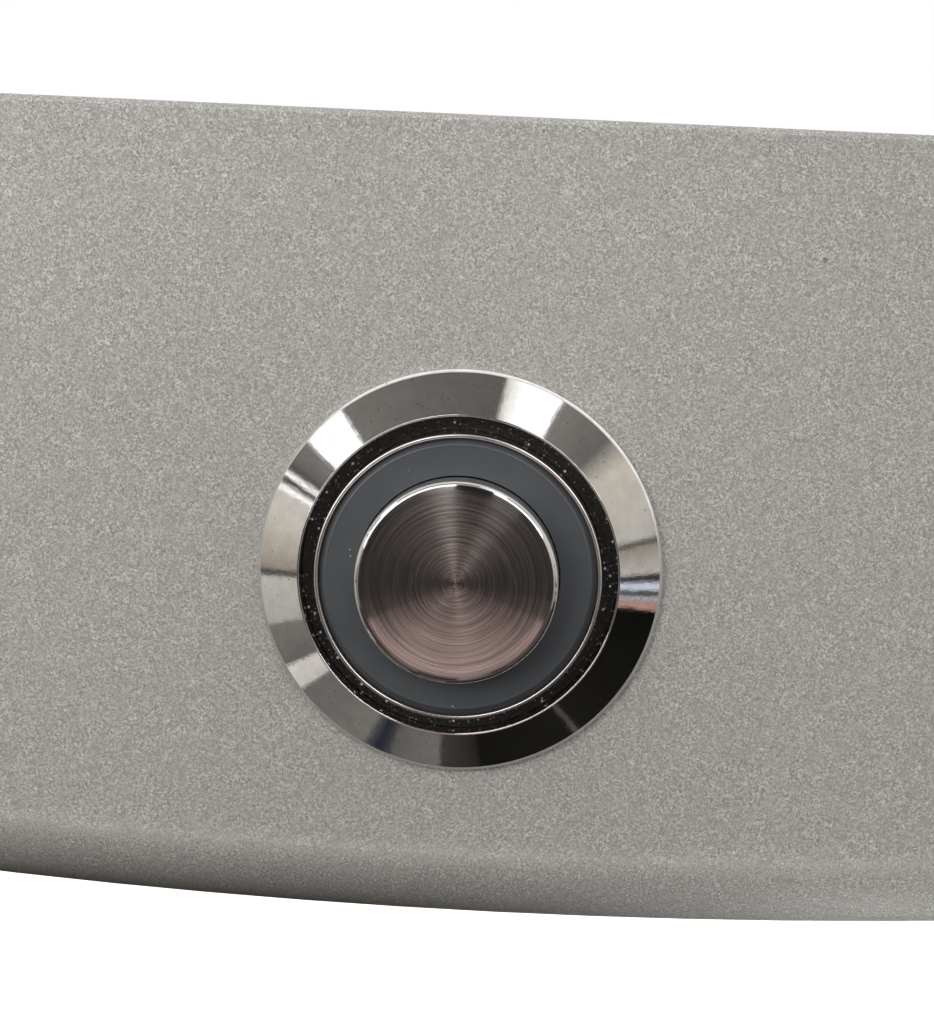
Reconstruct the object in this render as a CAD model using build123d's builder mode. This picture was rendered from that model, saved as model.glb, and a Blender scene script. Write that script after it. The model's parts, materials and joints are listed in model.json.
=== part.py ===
from build123d import *
import math
import os

# Pedestrian push-button unit: a metal housing for a pole or wall, holding a ring-lit metal push switch.
# Frame: X across the face, Y into the wall, Z up. The button's axis is the Y axis. The wall is at Y = 0.
# Depths are measured behind the front face of the housing, so a negative depth stands proud of it.

# Housing
HOUSING_DEPTH = 52.0
HOUSING_WIDTH = 84.0
TOP_Z = 27.9
BOTTOM_Z = -22.6
BOTTOM_BOW_R = 470.0
CORNER_R = 9.0
ROLL_R = 4.6
TOP_EDGE_R = 0.4
WALL = 2.5
PLATE = 3.0
GASKET = 1.0
PANEL_Y = -HOUSING_DEPTH
RIM_Y = -PLATE - GASKET
DRAIN_R = 2.0
DRAIN_Y = -12.0

# Back plate
TAB = 2.0
TAB_GAP = 0.15
TAB_REACH = 13.0
TAB_ENDS = (-11.4, 22.0)
SIDE_SCREW_Y = -10.0
SIDE_SCREW_Z = (-6.0, 16.0)
POLE_HOLE_R = 2.75
POLE_HOLE_Z = (-14.0, 20.0)
GROMMET_X = 22.0
GROMMET_Z = 5.0
GROMMET_HOLE_R = 6.5
GROMMET_LIP_R = 8.6
GROMMET_LIP = 1.4
CABLE_R = 4.0
EARTH_X = 22.0
EARTH_Z = -11.0
EARTH_R = 2.0
EARTH_STUD_REACH = 11.0
EARTH_TIP_CHAMFER = 0.5
EARTH_WASHER = 0.8
EARTH_WASHER_R = 4.4
EARTH_NUT = 3.2
EARTH_NUT_FLAT_R = 3.5

# M4 countersunk security screw
SCREW_R = 2.0
SCREW_HEAD_R = 4.0
SCREW_LENGTH = 6.5
SOCKET_R = 1.45
SOCKET_PIN_R = 0.45
SOCKET_DEPTH = 1.3
FIT = 0.02
EASE = 0.1

# Terminal block
BLOCK_X = (-34.0, -20.0)
BLOCK_HEIGHT = 12.0
BLOCK_Z = 2.6
BLOCK_HALF = 20.3
POLE_PITCH = 6.0
POLES = 5
CLAMP_Y = -9.0
CLAMP_X = (-32.4, -21.6)
CLAMP_HALF = 2.1
CLAMP_SCREW_X = (-30.4, -23.6)
CLAMP_SCREW_R = 1.45
BLOCK_SCREW_R = 1.5
BLOCK_SCREW_OFFSET = 17.5
BLOCK_CHAMFER = 0.8
BLOCK_WELL_R = 3.0
BLOCK_HEAD_R = 2.7
BLOCK_HEAD = 1.8
BLOCK_SLOT = 0.8
BLOCK_SLOT_HALF = 0.3
BLOCK_SCREW_TIP_Y = -0.4
WIRE_ENTRY_R = 1.3
CLAMP_GAP = 0.05
CLAMP_BORE_R = 0.9
CLAMP_WELL_R = 1.75
CLAMP_SCREW_SUNK = 1.0
CLAMP_SLOT = 0.6
CLAMP_SLOT_HALF = (1.3, 0.25)
WIRE_R = 0.6

# Switch body: 25 mm flange and an M22 x 1 bushing
FLANGE_R = 12.5
FLANGE_EDGE = 0.35
LIP_R = 9.75
LIP_RISE = 2.4
LIP_LAND = 0.12
SEAL_RISE = (0.7, 0.45)
THREAD_R = 11.0
THREAD_ROOT_R = 10.4
THREAD_PITCH = 1.0
THREAD_END = 17.0
BODY_LENGTH = 18.0
BODY_BORE_R = 8.80
HOLE_R = 11.1
SEAL_SHELF = 0.9
NUT_FLATS = 27.0
NUT = 3.5
LOCK_WASHER = 0.5
LOCK_WASHER_R = 13.4
LOCK_TEETH = 18
NUT_CHAMFER = (4.0, 2.2)
THREAD_EASE = 0.06

# Light ring and its sleeve
SLEEVE_R = 8.76
SLEEVE_BORE_R = 8.52
SLEEVE_RISE = 3.15
RING_RISE = 3.05
RING_BORE_R = 6.30
RING_FACE_R = 8.15
BOARD_FRONT = 5.0
BOARD = 0.8
LED_COUNT = 6
LED_R = 7.1

# Button cap and plunger
CAP_R = 6.17
CAP_RISE = 5.45
CAP_FACE = 1.5
CAP_EDGE_R = 0.45
SKIRT_END = 0.8
SKIRT_BORE_R = 4.85
PLUNGER_R = 2.2
SPIGOT_R = 1.38
BUSH_FRONT = 2.6
BUSH_SEAT = 3.4
BUSH_FLANGE = 1.5
BUSH_END = 12.0
BUSH_R = 3.2
SEAT_R = 4.4
CLIP = 0.5
SHOE = (14.4, 17.2)
SPRING_X = -2.5
POCKET_R = 1.2
POCKET = 1.0

# Contacts
REAR_R = 9.6
CAVITY_R = 7.6
REAR_END = 29.0
RIBS = (15.2, 20.0)
PIVOT = 21.0
BLADE_TILT = 5.0
BLADE_HALF = 5.2
CONTACT_X = 4.3
BASE = (24.0, 26.5)
POTTING_END = 28.8
TAB_END = 34.0
TAB_WIDE = 2.8
TAB_THICK = 0.5
SIDE_TAB_X = 5.75
COMMON_TAB_Z = -2.45
LED_TAB = (3.2, 5.6)
SLEEVE_END = 37.0


def at_depth(depth):
    """The plane parallel to the face, `depth` behind it; extruding a negative amount goes into the wall."""
    return Plane.XZ.offset(-(PANEL_Y + depth))


def at_y(y):
    """The same kind of plane, placed by its Y."""
    return Plane.XZ.offset(-y)


def turned(*profile, mode=Mode.ADD):
    """Revolve a closed outline of (radius, depth) points about the button's axis."""
    with BuildSketch() as outline:
        with BuildLine():
            Polyline(*[(radius, PANEL_Y + depth) for radius, depth in profile], close=True)
        make_face()
    revolve(outline.sketch, axis=Axis.Y, mode=mode)


def tube(inner, outer, start, end, mode=Mode.ADD):
    """A plain ring about the button's axis, between two depths."""
    turned((inner, start), (outer, start), (outer, end), (inner, end), mode=mode)


def rod(radius, x, z, start_y, end_y, mode=Mode.ADD):
    """A round bar along Y."""
    with BuildSketch(at_y(start_y)) as disc:
        with Locations((x, z)):
            Circle(radius)
    extrude(disc.sketch, amount=start_y - end_y, mode=mode)


def slab(x_span, y_span, z_span, mode=Mode.ADD):
    """A rectangular block between the given limits."""
    centre = [sum(span) / 2 for span in (x_span, y_span, z_span)]
    size = [span[1] - span[0] for span in (x_span, y_span, z_span)]
    with Locations(tuple(centre)):
        Box(*size, mode=mode)


def depth_span(start, end):
    """Turn a pair of depths into a pair of Y values."""
    return (PANEL_Y + start, PANEL_Y + end)


def save(part, name):
    """Label a finished piece and write it."""
    part.label = name
    export_step(part, f"parts/{name}.step")


os.makedirs("parts", exist_ok=True)


# ---------------------------------------------------------------- housing

def housing_outline(inset, plane):
    """Front view of the housing, drawn `inset` inside its edge: straight top, gently bowed bottom."""
    half = HOUSING_WIDTH / 2 - inset
    top = TOP_Z - inset
    bow_r = BOTTOM_BOW_R - inset
    bow_centre_z = BOTTOM_Z + BOTTOM_BOW_R
    corner_z = bow_centre_z - math.sqrt(bow_r**2 - half**2)
    with BuildSketch(plane) as outline:
        with BuildLine():
            Line((-half, corner_z), (-half, top))
            Line((-half, top), (half, top))
            Line((half, top), (half, corner_z))
            ThreePointArc((half, corner_z), (0, bow_centre_z - bow_r), (-half, corner_z))
        make_face()
        fillet(outline.vertices().group_by(Axis.Y)[0], radius=CORNER_R - inset)
    return outline.sketch


def rolled_front_edges(part, top):
    """The front face's edges, except the straight one along the top."""
    front = part.faces().sort_by(Axis.Y)[0]
    return [edge for edge in front.edges() if edge.center().Z < top - 1.0]


with BuildPart() as cavity:
    extrude(housing_outline(WALL, at_depth(WALL)), amount=-(HOUSING_DEPTH - WALL))
    fillet(rolled_front_edges(cavity, TOP_Z - WALL), radius=ROLL_R - WALL)

with BuildPart() as front_housing:
    extrude(housing_outline(0, at_depth(0)), amount=-(HOUSING_DEPTH + RIM_Y))
    fillet(rolled_front_edges(front_housing, TOP_Z), radius=ROLL_R)
    top_front = front_housing.faces().sort_by(Axis.Z)[-1].edges().sort_by(Axis.Y)[0]
    fillet(top_front, radius=TOP_EDGE_R)
    add(cavity.part, mode=Mode.SUBTRACT)
    rod(HOLE_R, 0, 0, PANEL_Y, PANEL_Y + WALL, mode=Mode.SUBTRACT)
    for side in (-1, 1):
        for z in SIDE_SCREW_Z:
            wall_plane = Plane((side * HOUSING_WIDTH / 2, SIDE_SCREW_Y, z), z_dir=(side, 0, 0))
            with Locations(wall_plane):
                CounterSinkHole(SCREW_R + EASE, SCREW_HEAD_R + EASE, depth=WALL)
    with Locations(Plane((0, DRAIN_Y, BOTTOM_Z), z_dir=(0, 0, -1))):
        Hole(DRAIN_R, depth=2 * WALL)
save(front_housing.part, "front_housing")

with BuildPart() as housing_gasket:
    extrude(housing_outline(0.3, at_y(RIM_Y)), amount=-GASKET)
    extrude(housing_outline(WALL - 0.2, at_y(RIM_Y)), amount=-GASKET, mode=Mode.SUBTRACT)
save(housing_gasket.part, "housing_gasket")

TAB_X = HOUSING_WIDTH / 2 - WALL - TAB_GAP
with BuildPart() as back_plate:
    extrude(housing_outline(0, at_y(-PLATE)), amount=-PLATE)
    for side in (-1, 1):
        tab_span = sorted((side * TAB_X, side * (TAB_X - TAB)))
        slab(tab_span, (-PLATE - TAB_REACH, -PLATE), TAB_ENDS)
        for z in SIDE_SCREW_Z:
            with Locations(Plane((side * TAB_X, SIDE_SCREW_Y, z), z_dir=(side, 0, 0))):
                Hole(SCREW_R, depth=TAB)
    for z in POLE_HOLE_Z:
        rod(POLE_HOLE_R, 0, z, -PLATE, 0, mode=Mode.SUBTRACT)
    rod(GROMMET_HOLE_R, GROMMET_X, GROMMET_Z, -PLATE, 0, mode=Mode.SUBTRACT)
    rod(GROMMET_LIP_R, GROMMET_X, GROMMET_Z, -GROMMET_LIP, 0, mode=Mode.SUBTRACT)
    for sign in (-1, 1):
        block_screw_z = BLOCK_Z + sign * BLOCK_SCREW_OFFSET
        rod(BLOCK_SCREW_R, sum(BLOCK_X) / 2, block_screw_z, -PLATE, 0, mode=Mode.SUBTRACT)
    rod(EARTH_R + FIT, EARTH_X, EARTH_Z, -PLATE, 0, mode=Mode.SUBTRACT)
save(back_plate.part, "back_plate")

with BuildPart() as cover_screws:
    for side in (-1, 1):
        for z in SIDE_SCREW_Z:
            head_plane = Plane((side * HOUSING_WIDTH / 2, SIDE_SCREW_Y, z), z_dir=(-side, 0, 0))
            with Locations(head_plane.offset(FIT)):
                Cone(SCREW_HEAD_R, SCREW_R - FIT, SCREW_R, align=(Align.CENTER, Align.CENTER, Align.MIN))
                Cylinder(SCREW_R - FIT, SCREW_LENGTH, align=(Align.CENTER, Align.CENTER, Align.MIN))
            with BuildSketch(head_plane.offset(FIT)) as socket:
                RegularPolygon(SOCKET_R, 6)
                Circle(SOCKET_PIN_R, mode=Mode.SUBTRACT)
            extrude(amount=SOCKET_DEPTH, mode=Mode.SUBTRACT)
save(cover_screws.part, "cover_screws")

with BuildPart() as cable_grommet:
    with BuildSketch(at_y(-PLATE - GROMMET_LIP)):
        with Locations((GROMMET_X, GROMMET_Z)):
            Circle(GROMMET_LIP_R - EASE)
    extrude(amount=-GROMMET_LIP)
    rod(GROMMET_HOLE_R - FIT, GROMMET_X, GROMMET_Z, -PLATE, -GROMMET_LIP)
    rod(GROMMET_LIP_R - EASE, GROMMET_X, GROMMET_Z, -GROMMET_LIP, -FIT)
    rod(CABLE_R, GROMMET_X, GROMMET_Z, -PLATE - GROMMET_LIP, 0, mode=Mode.SUBTRACT)
save(cable_grommet.part, "cable_grommet")

with BuildPart() as earth_stud:
    rod(EARTH_R, EARTH_X, EARTH_Z, -PLATE - EARTH_STUD_REACH, -FIT)
    chamfer(earth_stud.edges().sort_by(Axis.Y)[0], length=EARTH_TIP_CHAMFER)
save(earth_stud.part, "earth_stud")

with BuildPart() as earth_washer:
    rod(EARTH_WASHER_R, EARTH_X, EARTH_Z, -PLATE - EARTH_WASHER, -PLATE)
    rod(EARTH_R + EASE, EARTH_X, EARTH_Z, -PLATE - EARTH_WASHER, -PLATE, mode=Mode.SUBTRACT)
save(earth_washer.part, "earth_washer")

with BuildPart() as earth_nut:
    with BuildSketch(at_y(-PLATE - EARTH_WASHER - EARTH_NUT)):
        with Locations((EARTH_X, EARTH_Z)):
            RegularPolygon(EARTH_NUT_FLAT_R, 6, major_radius=False)
            Circle(EARTH_R + FIT, mode=Mode.SUBTRACT)
    extrude(amount=-EARTH_NUT)
save(earth_nut.part, "earth_nut")


# ---------------------------------------------------------------- terminal block

BLOCK_FRONT_Y = -PLATE - BLOCK_HEIGHT
BLOCK_MID_X = sum(BLOCK_X) / 2
POLE_Z = [BLOCK_Z + (index - (POLES - 1) / 2) * POLE_PITCH for index in range(POLES)]
BLOCK_HEAD_Y = -9.0


def along_x(radius, x_span, y, z, mode=Mode.ADD):
    """A round bar along X."""
    with BuildSketch(Plane.YZ.offset(x_span[0])) as disc:
        with Locations((y, z)):
            Circle(radius)
    extrude(disc.sketch, amount=x_span[1] - x_span[0], mode=mode)


with BuildPart() as terminal_block:
    slab(BLOCK_X, (BLOCK_FRONT_Y, -PLATE), (BLOCK_Z - BLOCK_HALF, BLOCK_Z + BLOCK_HALF))
    chamfer(terminal_block.faces().sort_by(Axis.Y)[0].edges(), length=BLOCK_CHAMFER)
    clamp_room = CLAMP_HALF + CLAMP_GAP
    clamp_y_span = (CLAMP_Y - clamp_room, CLAMP_Y + clamp_room)
    for z in POLE_Z:
        clamp_z_span = (z - clamp_room, z + clamp_room)
        slab((CLAMP_X[0] - CLAMP_GAP, CLAMP_X[1] + CLAMP_GAP), clamp_y_span, clamp_z_span,
             mode=Mode.SUBTRACT)
        along_x(WIRE_ENTRY_R, BLOCK_X, CLAMP_Y, z, mode=Mode.SUBTRACT)
        for x in CLAMP_SCREW_X:
            rod(CLAMP_WELL_R, x, z, BLOCK_FRONT_Y, CLAMP_Y, mode=Mode.SUBTRACT)
    for sign in (-1, 1):
        block_screw_z = BLOCK_Z + sign * BLOCK_SCREW_OFFSET
        rod(BLOCK_SCREW_R + EASE, BLOCK_MID_X, block_screw_z, BLOCK_FRONT_Y, -PLATE, mode=Mode.SUBTRACT)
        rod(BLOCK_WELL_R, BLOCK_MID_X, block_screw_z, BLOCK_FRONT_Y, BLOCK_HEAD_Y, mode=Mode.SUBTRACT)
save(terminal_block.part, "terminal_block")

with BuildPart() as wire_clamps:
    for z in POLE_Z:
        slab(CLAMP_X, (CLAMP_Y - CLAMP_HALF, CLAMP_Y + CLAMP_HALF), (z - CLAMP_HALF, z + CLAMP_HALF))
        along_x(CLAMP_BORE_R, CLAMP_X, CLAMP_Y, z, mode=Mode.SUBTRACT)
        for x in CLAMP_SCREW_X:
            rod(CLAMP_SCREW_R + FIT, x, z, BLOCK_FRONT_Y, CLAMP_Y, mode=Mode.SUBTRACT)
save(wire_clamps.part, "wire_clamps")

with BuildPart() as clamp_screws:
    screw_head_y = BLOCK_FRONT_Y + CLAMP_SCREW_SUNK
    for z in POLE_Z:
        for x in CLAMP_SCREW_X:
            rod(CLAMP_SCREW_R, x, z, screw_head_y, CLAMP_Y - WIRE_R - CLAMP_GAP)
            slab((x - CLAMP_SLOT_HALF[0], x + CLAMP_SLOT_HALF[0]), (screw_head_y, screw_head_y + CLAMP_SLOT),
                 (z - CLAMP_SLOT_HALF[1], z + CLAMP_SLOT_HALF[1]), mode=Mode.SUBTRACT)
save(clamp_screws.part, "clamp_screws")

with BuildPart() as block_screws:
    head_y = BLOCK_HEAD_Y - BLOCK_HEAD
    for sign in (-1, 1):
        screw_z = BLOCK_Z + sign * BLOCK_SCREW_OFFSET
        rod(BLOCK_HEAD_R, BLOCK_MID_X, screw_z, head_y, BLOCK_HEAD_Y)
        rod(BLOCK_SCREW_R - FIT, BLOCK_MID_X, screw_z, BLOCK_HEAD_Y, BLOCK_SCREW_TIP_Y)
        slab((BLOCK_MID_X - BLOCK_HEAD, BLOCK_MID_X + BLOCK_HEAD), (head_y, head_y + BLOCK_SLOT),
             (screw_z - BLOCK_SLOT_HALF, screw_z + BLOCK_SLOT_HALF), mode=Mode.SUBTRACT)
save(block_screws.part, "block_screws")


# ---------------------------------------------------------------- switch body and its fixing

def thread_points(start, end, extra):
    """The zigzag of a 60-degree thread between two depths, `extra` larger in radius."""
    points = []
    steps = round((end - start) / (THREAD_PITCH / 2))
    for step in range(steps + 1):
        radius = THREAD_ROOT_R if step % 2 == 0 else THREAD_R
        points.append((radius + extra, start + step * THREAD_PITCH / 2))
    return points


SEAL_RECESS = (11.3, 12.1)
with BuildPart() as bezel_body:
    turned(
        (LIP_R, -LIP_RISE),
        (LIP_R + LIP_LAND, -LIP_RISE),
        (FLANGE_R - 0.2, -FLANGE_EDGE - 0.2),
        (FLANGE_R, -FLANGE_EDGE),
        (FLANGE_R, 0),
        (SEAL_RECESS[1], 0),
        (SEAL_RECESS[1], -FLANGE_EDGE),
        (SEAL_RECESS[0], -FLANGE_EDGE),
        (SEAL_RECESS[0], 0),
        (THREAD_ROOT_R, 0),
        *thread_points(1.0, THREAD_END, 0),
        (THREAD_ROOT_R - 0.3, BODY_LENGTH),
        (BODY_BORE_R, BODY_LENGTH),
        (BODY_BORE_R, SEAL_SHELF),
        (LIP_R, SEAL_SHELF),
    )
save(bezel_body.part, "bezel_body")

with BuildPart() as panel_seal:
    tube(SEAL_RECESS[0] + FIT, SEAL_RECESS[1] - FIT, -FLANGE_EDGE + FIT, 0)
save(panel_seal.part, "panel_seal")

NUT_START = WALL + LOCK_WASHER
with BuildPart() as lock_washer:
    tube(HOLE_R + 0.05, LOCK_WASHER_R, WALL, NUT_START)
    with BuildSketch(at_depth(WALL)):
        with PolarLocations(LOCK_WASHER_R, LOCK_TEETH):
            Rectangle(1.2, 0.9)
    extrude(amount=-LOCK_WASHER, mode=Mode.SUBTRACT)
save(lock_washer.part, "lock_washer")

NUT_END = NUT_START + NUT
with BuildPart() as hex_nut:
    with BuildSketch(at_depth(NUT_START)):
        RegularPolygon(NUT_FLATS / 2, 6, major_radius=False)
    extrude(amount=-NUT)
    chamfer_r = NUT_FLATS / 2 + NUT_CHAMFER[0]
    turned((NUT_FLATS / 2, NUT_END), (chamfer_r, NUT_END), (chamfer_r, NUT_END - NUT_CHAMFER[1]),
           mode=Mode.SUBTRACT)
    turned((0, NUT_START), *thread_points(NUT_START, NUT_END, THREAD_EASE), (0, NUT_END), mode=Mode.SUBTRACT)
save(hex_nut.part, "hex_nut")

with BuildPart() as groove_seal:
    turned((SLEEVE_R + FIT, -SEAL_RISE[0]), ((SLEEVE_R + LIP_R) / 2, -SEAL_RISE[1]),
           (LIP_R - FIT, -SEAL_RISE[0]), (LIP_R - FIT, SEAL_SHELF), (SLEEVE_R + FIT, SEAL_SHELF))
save(groove_seal.part, "groove_seal")


# ---------------------------------------------------------------- light ring

BUSH_FLANGE_START = BOARD_FRONT + BOARD
BUSH_FLANGE_END = BUSH_FLANGE_START + BUSH_FLANGE
RING_R = SLEEVE_BORE_R - FIT

with BuildPart() as inner_sleeve:
    tube(SLEEVE_BORE_R, SLEEVE_R, -SLEEVE_RISE, BUSH_FLANGE_END)
save(inner_sleeve.part, "inner_sleeve")

with BuildPart() as light_ring:
    turned((RING_BORE_R, -RING_RISE), (RING_FACE_R, -RING_RISE), (RING_R, -RING_RISE + 0.35),
           (RING_R, BOARD_FRONT), (RING_R - 0.5, BOARD_FRONT), (RING_R - 0.5, 3.0), (RING_BORE_R, 3.0))
save(light_ring.part, "light_ring")

with BuildPart() as led_board:
    tube(SEAT_R + 0.05, RING_R, BOARD_FRONT, BUSH_FLANGE_START)
    for side in (-1, 1):
        rod(0.25, side * LED_TAB[0], LED_TAB[1], *depth_span(BOARD_FRONT, BUSH_FLANGE_START),
            mode=Mode.SUBTRACT)
save(led_board.part, "led_board")

with BuildPart() as leds:
    with BuildSketch(at_depth(BOARD_FRONT - 0.6)):
        with PolarLocations(LED_R, LED_COUNT):
            Rectangle(0.8, 1.6)
    extrude(amount=-0.6)
save(leds.part, "leds")

with BuildPart() as resistors:
    with BuildSketch(at_depth(BOARD_FRONT - 0.35)):
        with PolarLocations(5.7, 2, start_angle=30):
            Rectangle(0.6, 1.2)
    extrude(amount=-0.35)
save(resistors.part, "resistors")


# ---------------------------------------------------------------- button cap, plunger and guide

CAP_UNDERSIDE = CAP_FACE - CAP_RISE
SPIGOT_TIP = CAP_UNDERSIDE - 0.9
CLIP_START = BUSH_END + 0.07
SEAL_MINOR_R = 0.40
SEAL_MAJOR_R = RING_BORE_R - 0.06 - SEAL_MINOR_R
SEAL_DEPTH = -0.3

with BuildPart() as button_cap:
    turned(
        (0, -CAP_RISE),
        (CAP_R, -CAP_RISE),
        (CAP_R, SEAL_DEPTH - 0.45),
        (SEAL_MAJOR_R - SEAL_MINOR_R - 0.01, SEAL_DEPTH - 0.45),
        (SEAL_MAJOR_R - SEAL_MINOR_R - 0.01, SEAL_DEPTH + 0.45),
        (CAP_R, SEAL_DEPTH + 0.45),
        (CAP_R, SKIRT_END),
        (SKIRT_BORE_R, SKIRT_END),
        (SKIRT_BORE_R, CAP_UNDERSIDE),
        (SPIGOT_R + FIT, CAP_UNDERSIDE),
        (SPIGOT_R + FIT, SPIGOT_TIP),
        (0, SPIGOT_TIP),
    )
    face_edge = button_cap.faces().sort_by(Axis.Y)[0].edges()[0]
    fillet(face_edge, radius=CAP_EDGE_R)
save(button_cap.part, "button_cap")

with BuildPart() as cap_seal:
    with BuildSketch() as section:
        with Locations((SEAL_MAJOR_R, PANEL_Y + SEAL_DEPTH)):
            Circle(SEAL_MINOR_R)
    revolve(axis=Axis.Y)
save(cap_seal.part, "cap_seal")

with BuildPart() as plunger:
    turned(
        (0, SPIGOT_TIP),
        (SPIGOT_R, SPIGOT_TIP),
        (SPIGOT_R, CAP_UNDERSIDE),
        (PLUNGER_R, CAP_UNDERSIDE),
        (PLUNGER_R, CLIP_START - 0.02),
        (PLUNGER_R - 0.5, CLIP_START - 0.02),
        (PLUNGER_R - 0.5, CLIP_START + CLIP + 0.02),
        (PLUNGER_R, CLIP_START + CLIP + 0.02),
        (PLUNGER_R, SHOE[0] + 1.6),
        (0, SHOE[0] + 1.6),
    )
save(plunger.part, "plunger")

with BuildPart() as retaining_clip:
    tube(PLUNGER_R - 0.48, 3.6, CLIP_START, CLIP_START + CLIP)
    slab((-1.2, 1.2), depth_span(CLIP_START, CLIP_START + CLIP), (-4.0, 0), mode=Mode.SUBTRACT)
save(retaining_clip.part, "retaining_clip")

with BuildPart() as guide_bush:
    turned(
        (PLUNGER_R + 0.05, BUSH_FRONT),
        (BUSH_R, BUSH_FRONT),
        (BUSH_R, BUSH_SEAT),
        (SEAT_R, BUSH_SEAT),
        (SEAT_R, BUSH_FLANGE_START),
        (RING_R, BUSH_FLANGE_START),
        (RING_R, BUSH_FLANGE_END),
        (BUSH_R, BUSH_FLANGE_END),
        (BUSH_R, BUSH_END),
        (PLUNGER_R + 0.05, BUSH_END),
    )
    for side in (-1, 1):
        rod(0.35, side * LED_TAB[0], LED_TAB[1], *depth_span(BUSH_FLANGE_START, BUSH_FLANGE_END),
            mode=Mode.SUBTRACT)
save(guide_bush.part, "guide_bush")

with BuildPart() as drive_shoe:
    slab((-4.2, 4.2), depth_span(*SHOE), (-2.5, 2.5))
    chamfer(drive_shoe.edges().filter_by(Axis.Y), length=0.6)
    rod(PLUNGER_R + FIT, 0, 0, *depth_span(SHOE[0], SHOE[0] + 1.6 + FIT), mode=Mode.SUBTRACT)
    rod(POCKET_R, SPRING_X, 0, *depth_span(SHOE[1] - POCKET, SHOE[1]), mode=Mode.SUBTRACT)
save(drive_shoe.part, "drive_shoe")


def coil_spring(x, coil_r, wire_r, start, end, turns):
    """A round-wire compression spring along Y, its wire's outsides at the two depths."""
    height = end - start - 2 * wire_r
    with BuildLine() as coil:
        Helix(height / turns, height, coil_r, center=(x, PANEL_Y + start + wire_r, 0), direction=(0, 1, 0))
    with BuildSketch(Plane(coil.line @ 0, z_dir=coil.line % 0)) as wire:
        Circle(wire_r)
    sweep(wire.sketch, path=coil.line, is_frenet=True)


with BuildPart() as return_spring:
    coil_spring(0, 3.85, 0.3, CAP_UNDERSIDE + 0.05, BUSH_SEAT - 0.05, 4.5)
save(return_spring.part, "return_spring")

BLADE_TOP = PIVOT - 1.1
with BuildPart() as drive_spring:
    coil_spring(SPRING_X, 0.8, 0.15, SHOE[1] - POCKET + 0.05, BLADE_TOP - 0.45, 5)
save(drive_spring.part, "drive_spring")

with BuildPart() as blade_spring:
    coil_spring(SPRING_X, 0.8, 0.12, BLADE_TOP + 0.6, BASE[0] - 0.05, 5)
save(blade_spring.part, "blade_spring")


# ---------------------------------------------------------------- rear body and contacts

with BuildPart() as rear_body:
    turned(
        (CAVITY_R, BUSH_FLANGE_END),
        (BODY_BORE_R - 0.08, BUSH_FLANGE_END),
        (BODY_BORE_R - 0.08, BODY_LENGTH),
        (REAR_R, BODY_LENGTH),
        (REAR_R, REAR_END),
        (CAVITY_R, REAR_END),
    )
    for side in (-1, 1):
        rib_z = sorted((side * 2.8, side * (CAVITY_R + 0.3)))
        slab((-1.8, 1.8), depth_span(*RIBS), rib_z)
save(rear_body.part, "rear_body")

TAB_PLACES = (
    (SIDE_TAB_X, 0, TAB_THICK, TAB_WIDE),
    (-SIDE_TAB_X, 0, TAB_THICK, TAB_WIDE),
    (0, COMMON_TAB_Z, TAB_WIDE, TAB_THICK),
    (LED_TAB[0], LED_TAB[1], TAB_WIDE, TAB_THICK),
    (-LED_TAB[0], LED_TAB[1], TAB_WIDE, TAB_THICK),
)


def slotted_disc(start, end):
    """A disc that fills the rear body's bore, with a slot for each terminal."""
    tube(0, CAVITY_R - FIT, start, end)
    with BuildSketch(at_depth(start)) as slots:
        for x, z, wide, high in TAB_PLACES:
            with Locations((x, z)):
                Rectangle(wide + 2 * FIT, high + 2 * FIT)
    extrude(slots.sketch, amount=start - end, mode=Mode.SUBTRACT)


with BuildPart() as terminal_base:
    slotted_disc(*BASE)
save(terminal_base.part, "terminal_base")

with BuildPart() as potting:
    slotted_disc(BASE[1], POTTING_END)
save(potting.part, "potting")


def solder_eye(x, z, along):
    """The hole near a terminal's end, drilled through its thin side."""
    with Locations(Plane((x, PANEL_Y + TAB_END - 1.6, z), z_dir=along)):
        Cylinder(0.6, 2 * TAB_THICK, mode=Mode.SUBTRACT)


def changeover_contact(side):
    """One fixed contact: a shelf under the blade's end and a terminal out of the back."""
    outer = SIDE_TAB_X + TAB_THICK / 2
    slab(sorted((side * 3.6, side * outer)), depth_span(PIVOT + 0.68, PIVOT + 0.68 + TAB_THICK),
         (-TAB_WIDE / 2, TAB_WIDE / 2))
    slab(sorted((side * (outer - TAB_THICK), side * outer)), depth_span(PIVOT + 0.68, TAB_END),
         (-TAB_WIDE / 2, TAB_WIDE / 2))
    solder_eye(side * SIDE_TAB_X, 0, (1, 0, 0))


with BuildPart() as normally_closed_contact:
    changeover_contact(1)
save(normally_closed_contact.part, "normally_closed_contact")

with BuildPart() as normally_open_contact:
    changeover_contact(-1)
save(normally_open_contact.part, "normally_open_contact")

with BuildPart() as fixed_rivets:
    for side in (-1, 1):
        rod(0.7, side * CONTACT_X, 0, *depth_span(PIVOT + 0.28, PIVOT + 0.68))
save(fixed_rivets.part, "fixed_rivets")

EAR_Z = (2.2, 2.7)
PIN_R = 0.4
with BuildPart() as common_contact:
    half = TAB_WIDE / 2
    slab((-half, half), depth_span(BASE[0] - TAB_THICK, BASE[0]), (-EAR_Z[1], EAR_Z[1]))
    for side in (-1, 1):
        slab((-1.0, 1.0), depth_span(PIVOT - 0.7, BASE[0]), sorted((side * EAR_Z[0], side * EAR_Z[1])))
    slab((-half, half), depth_span(BASE[0], TAB_END), (-EAR_Z[1], -EAR_Z[0]))
    with Locations((0, PANEL_Y + PIVOT, 0)):
        Cylinder(PIN_R + FIT, 2 * EAR_Z[1], mode=Mode.SUBTRACT)
    solder_eye(0, COMMON_TAB_Z, (0, 0, 1))
save(common_contact.part, "common_contact")

with BuildPart() as pivot_pin:
    with Locations((0, PANEL_Y + PIVOT, 0)):
        Cylinder(PIN_R, 2 * EAR_Z[1] + 0.4)
save(pivot_pin.part, "pivot_pin")

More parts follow.
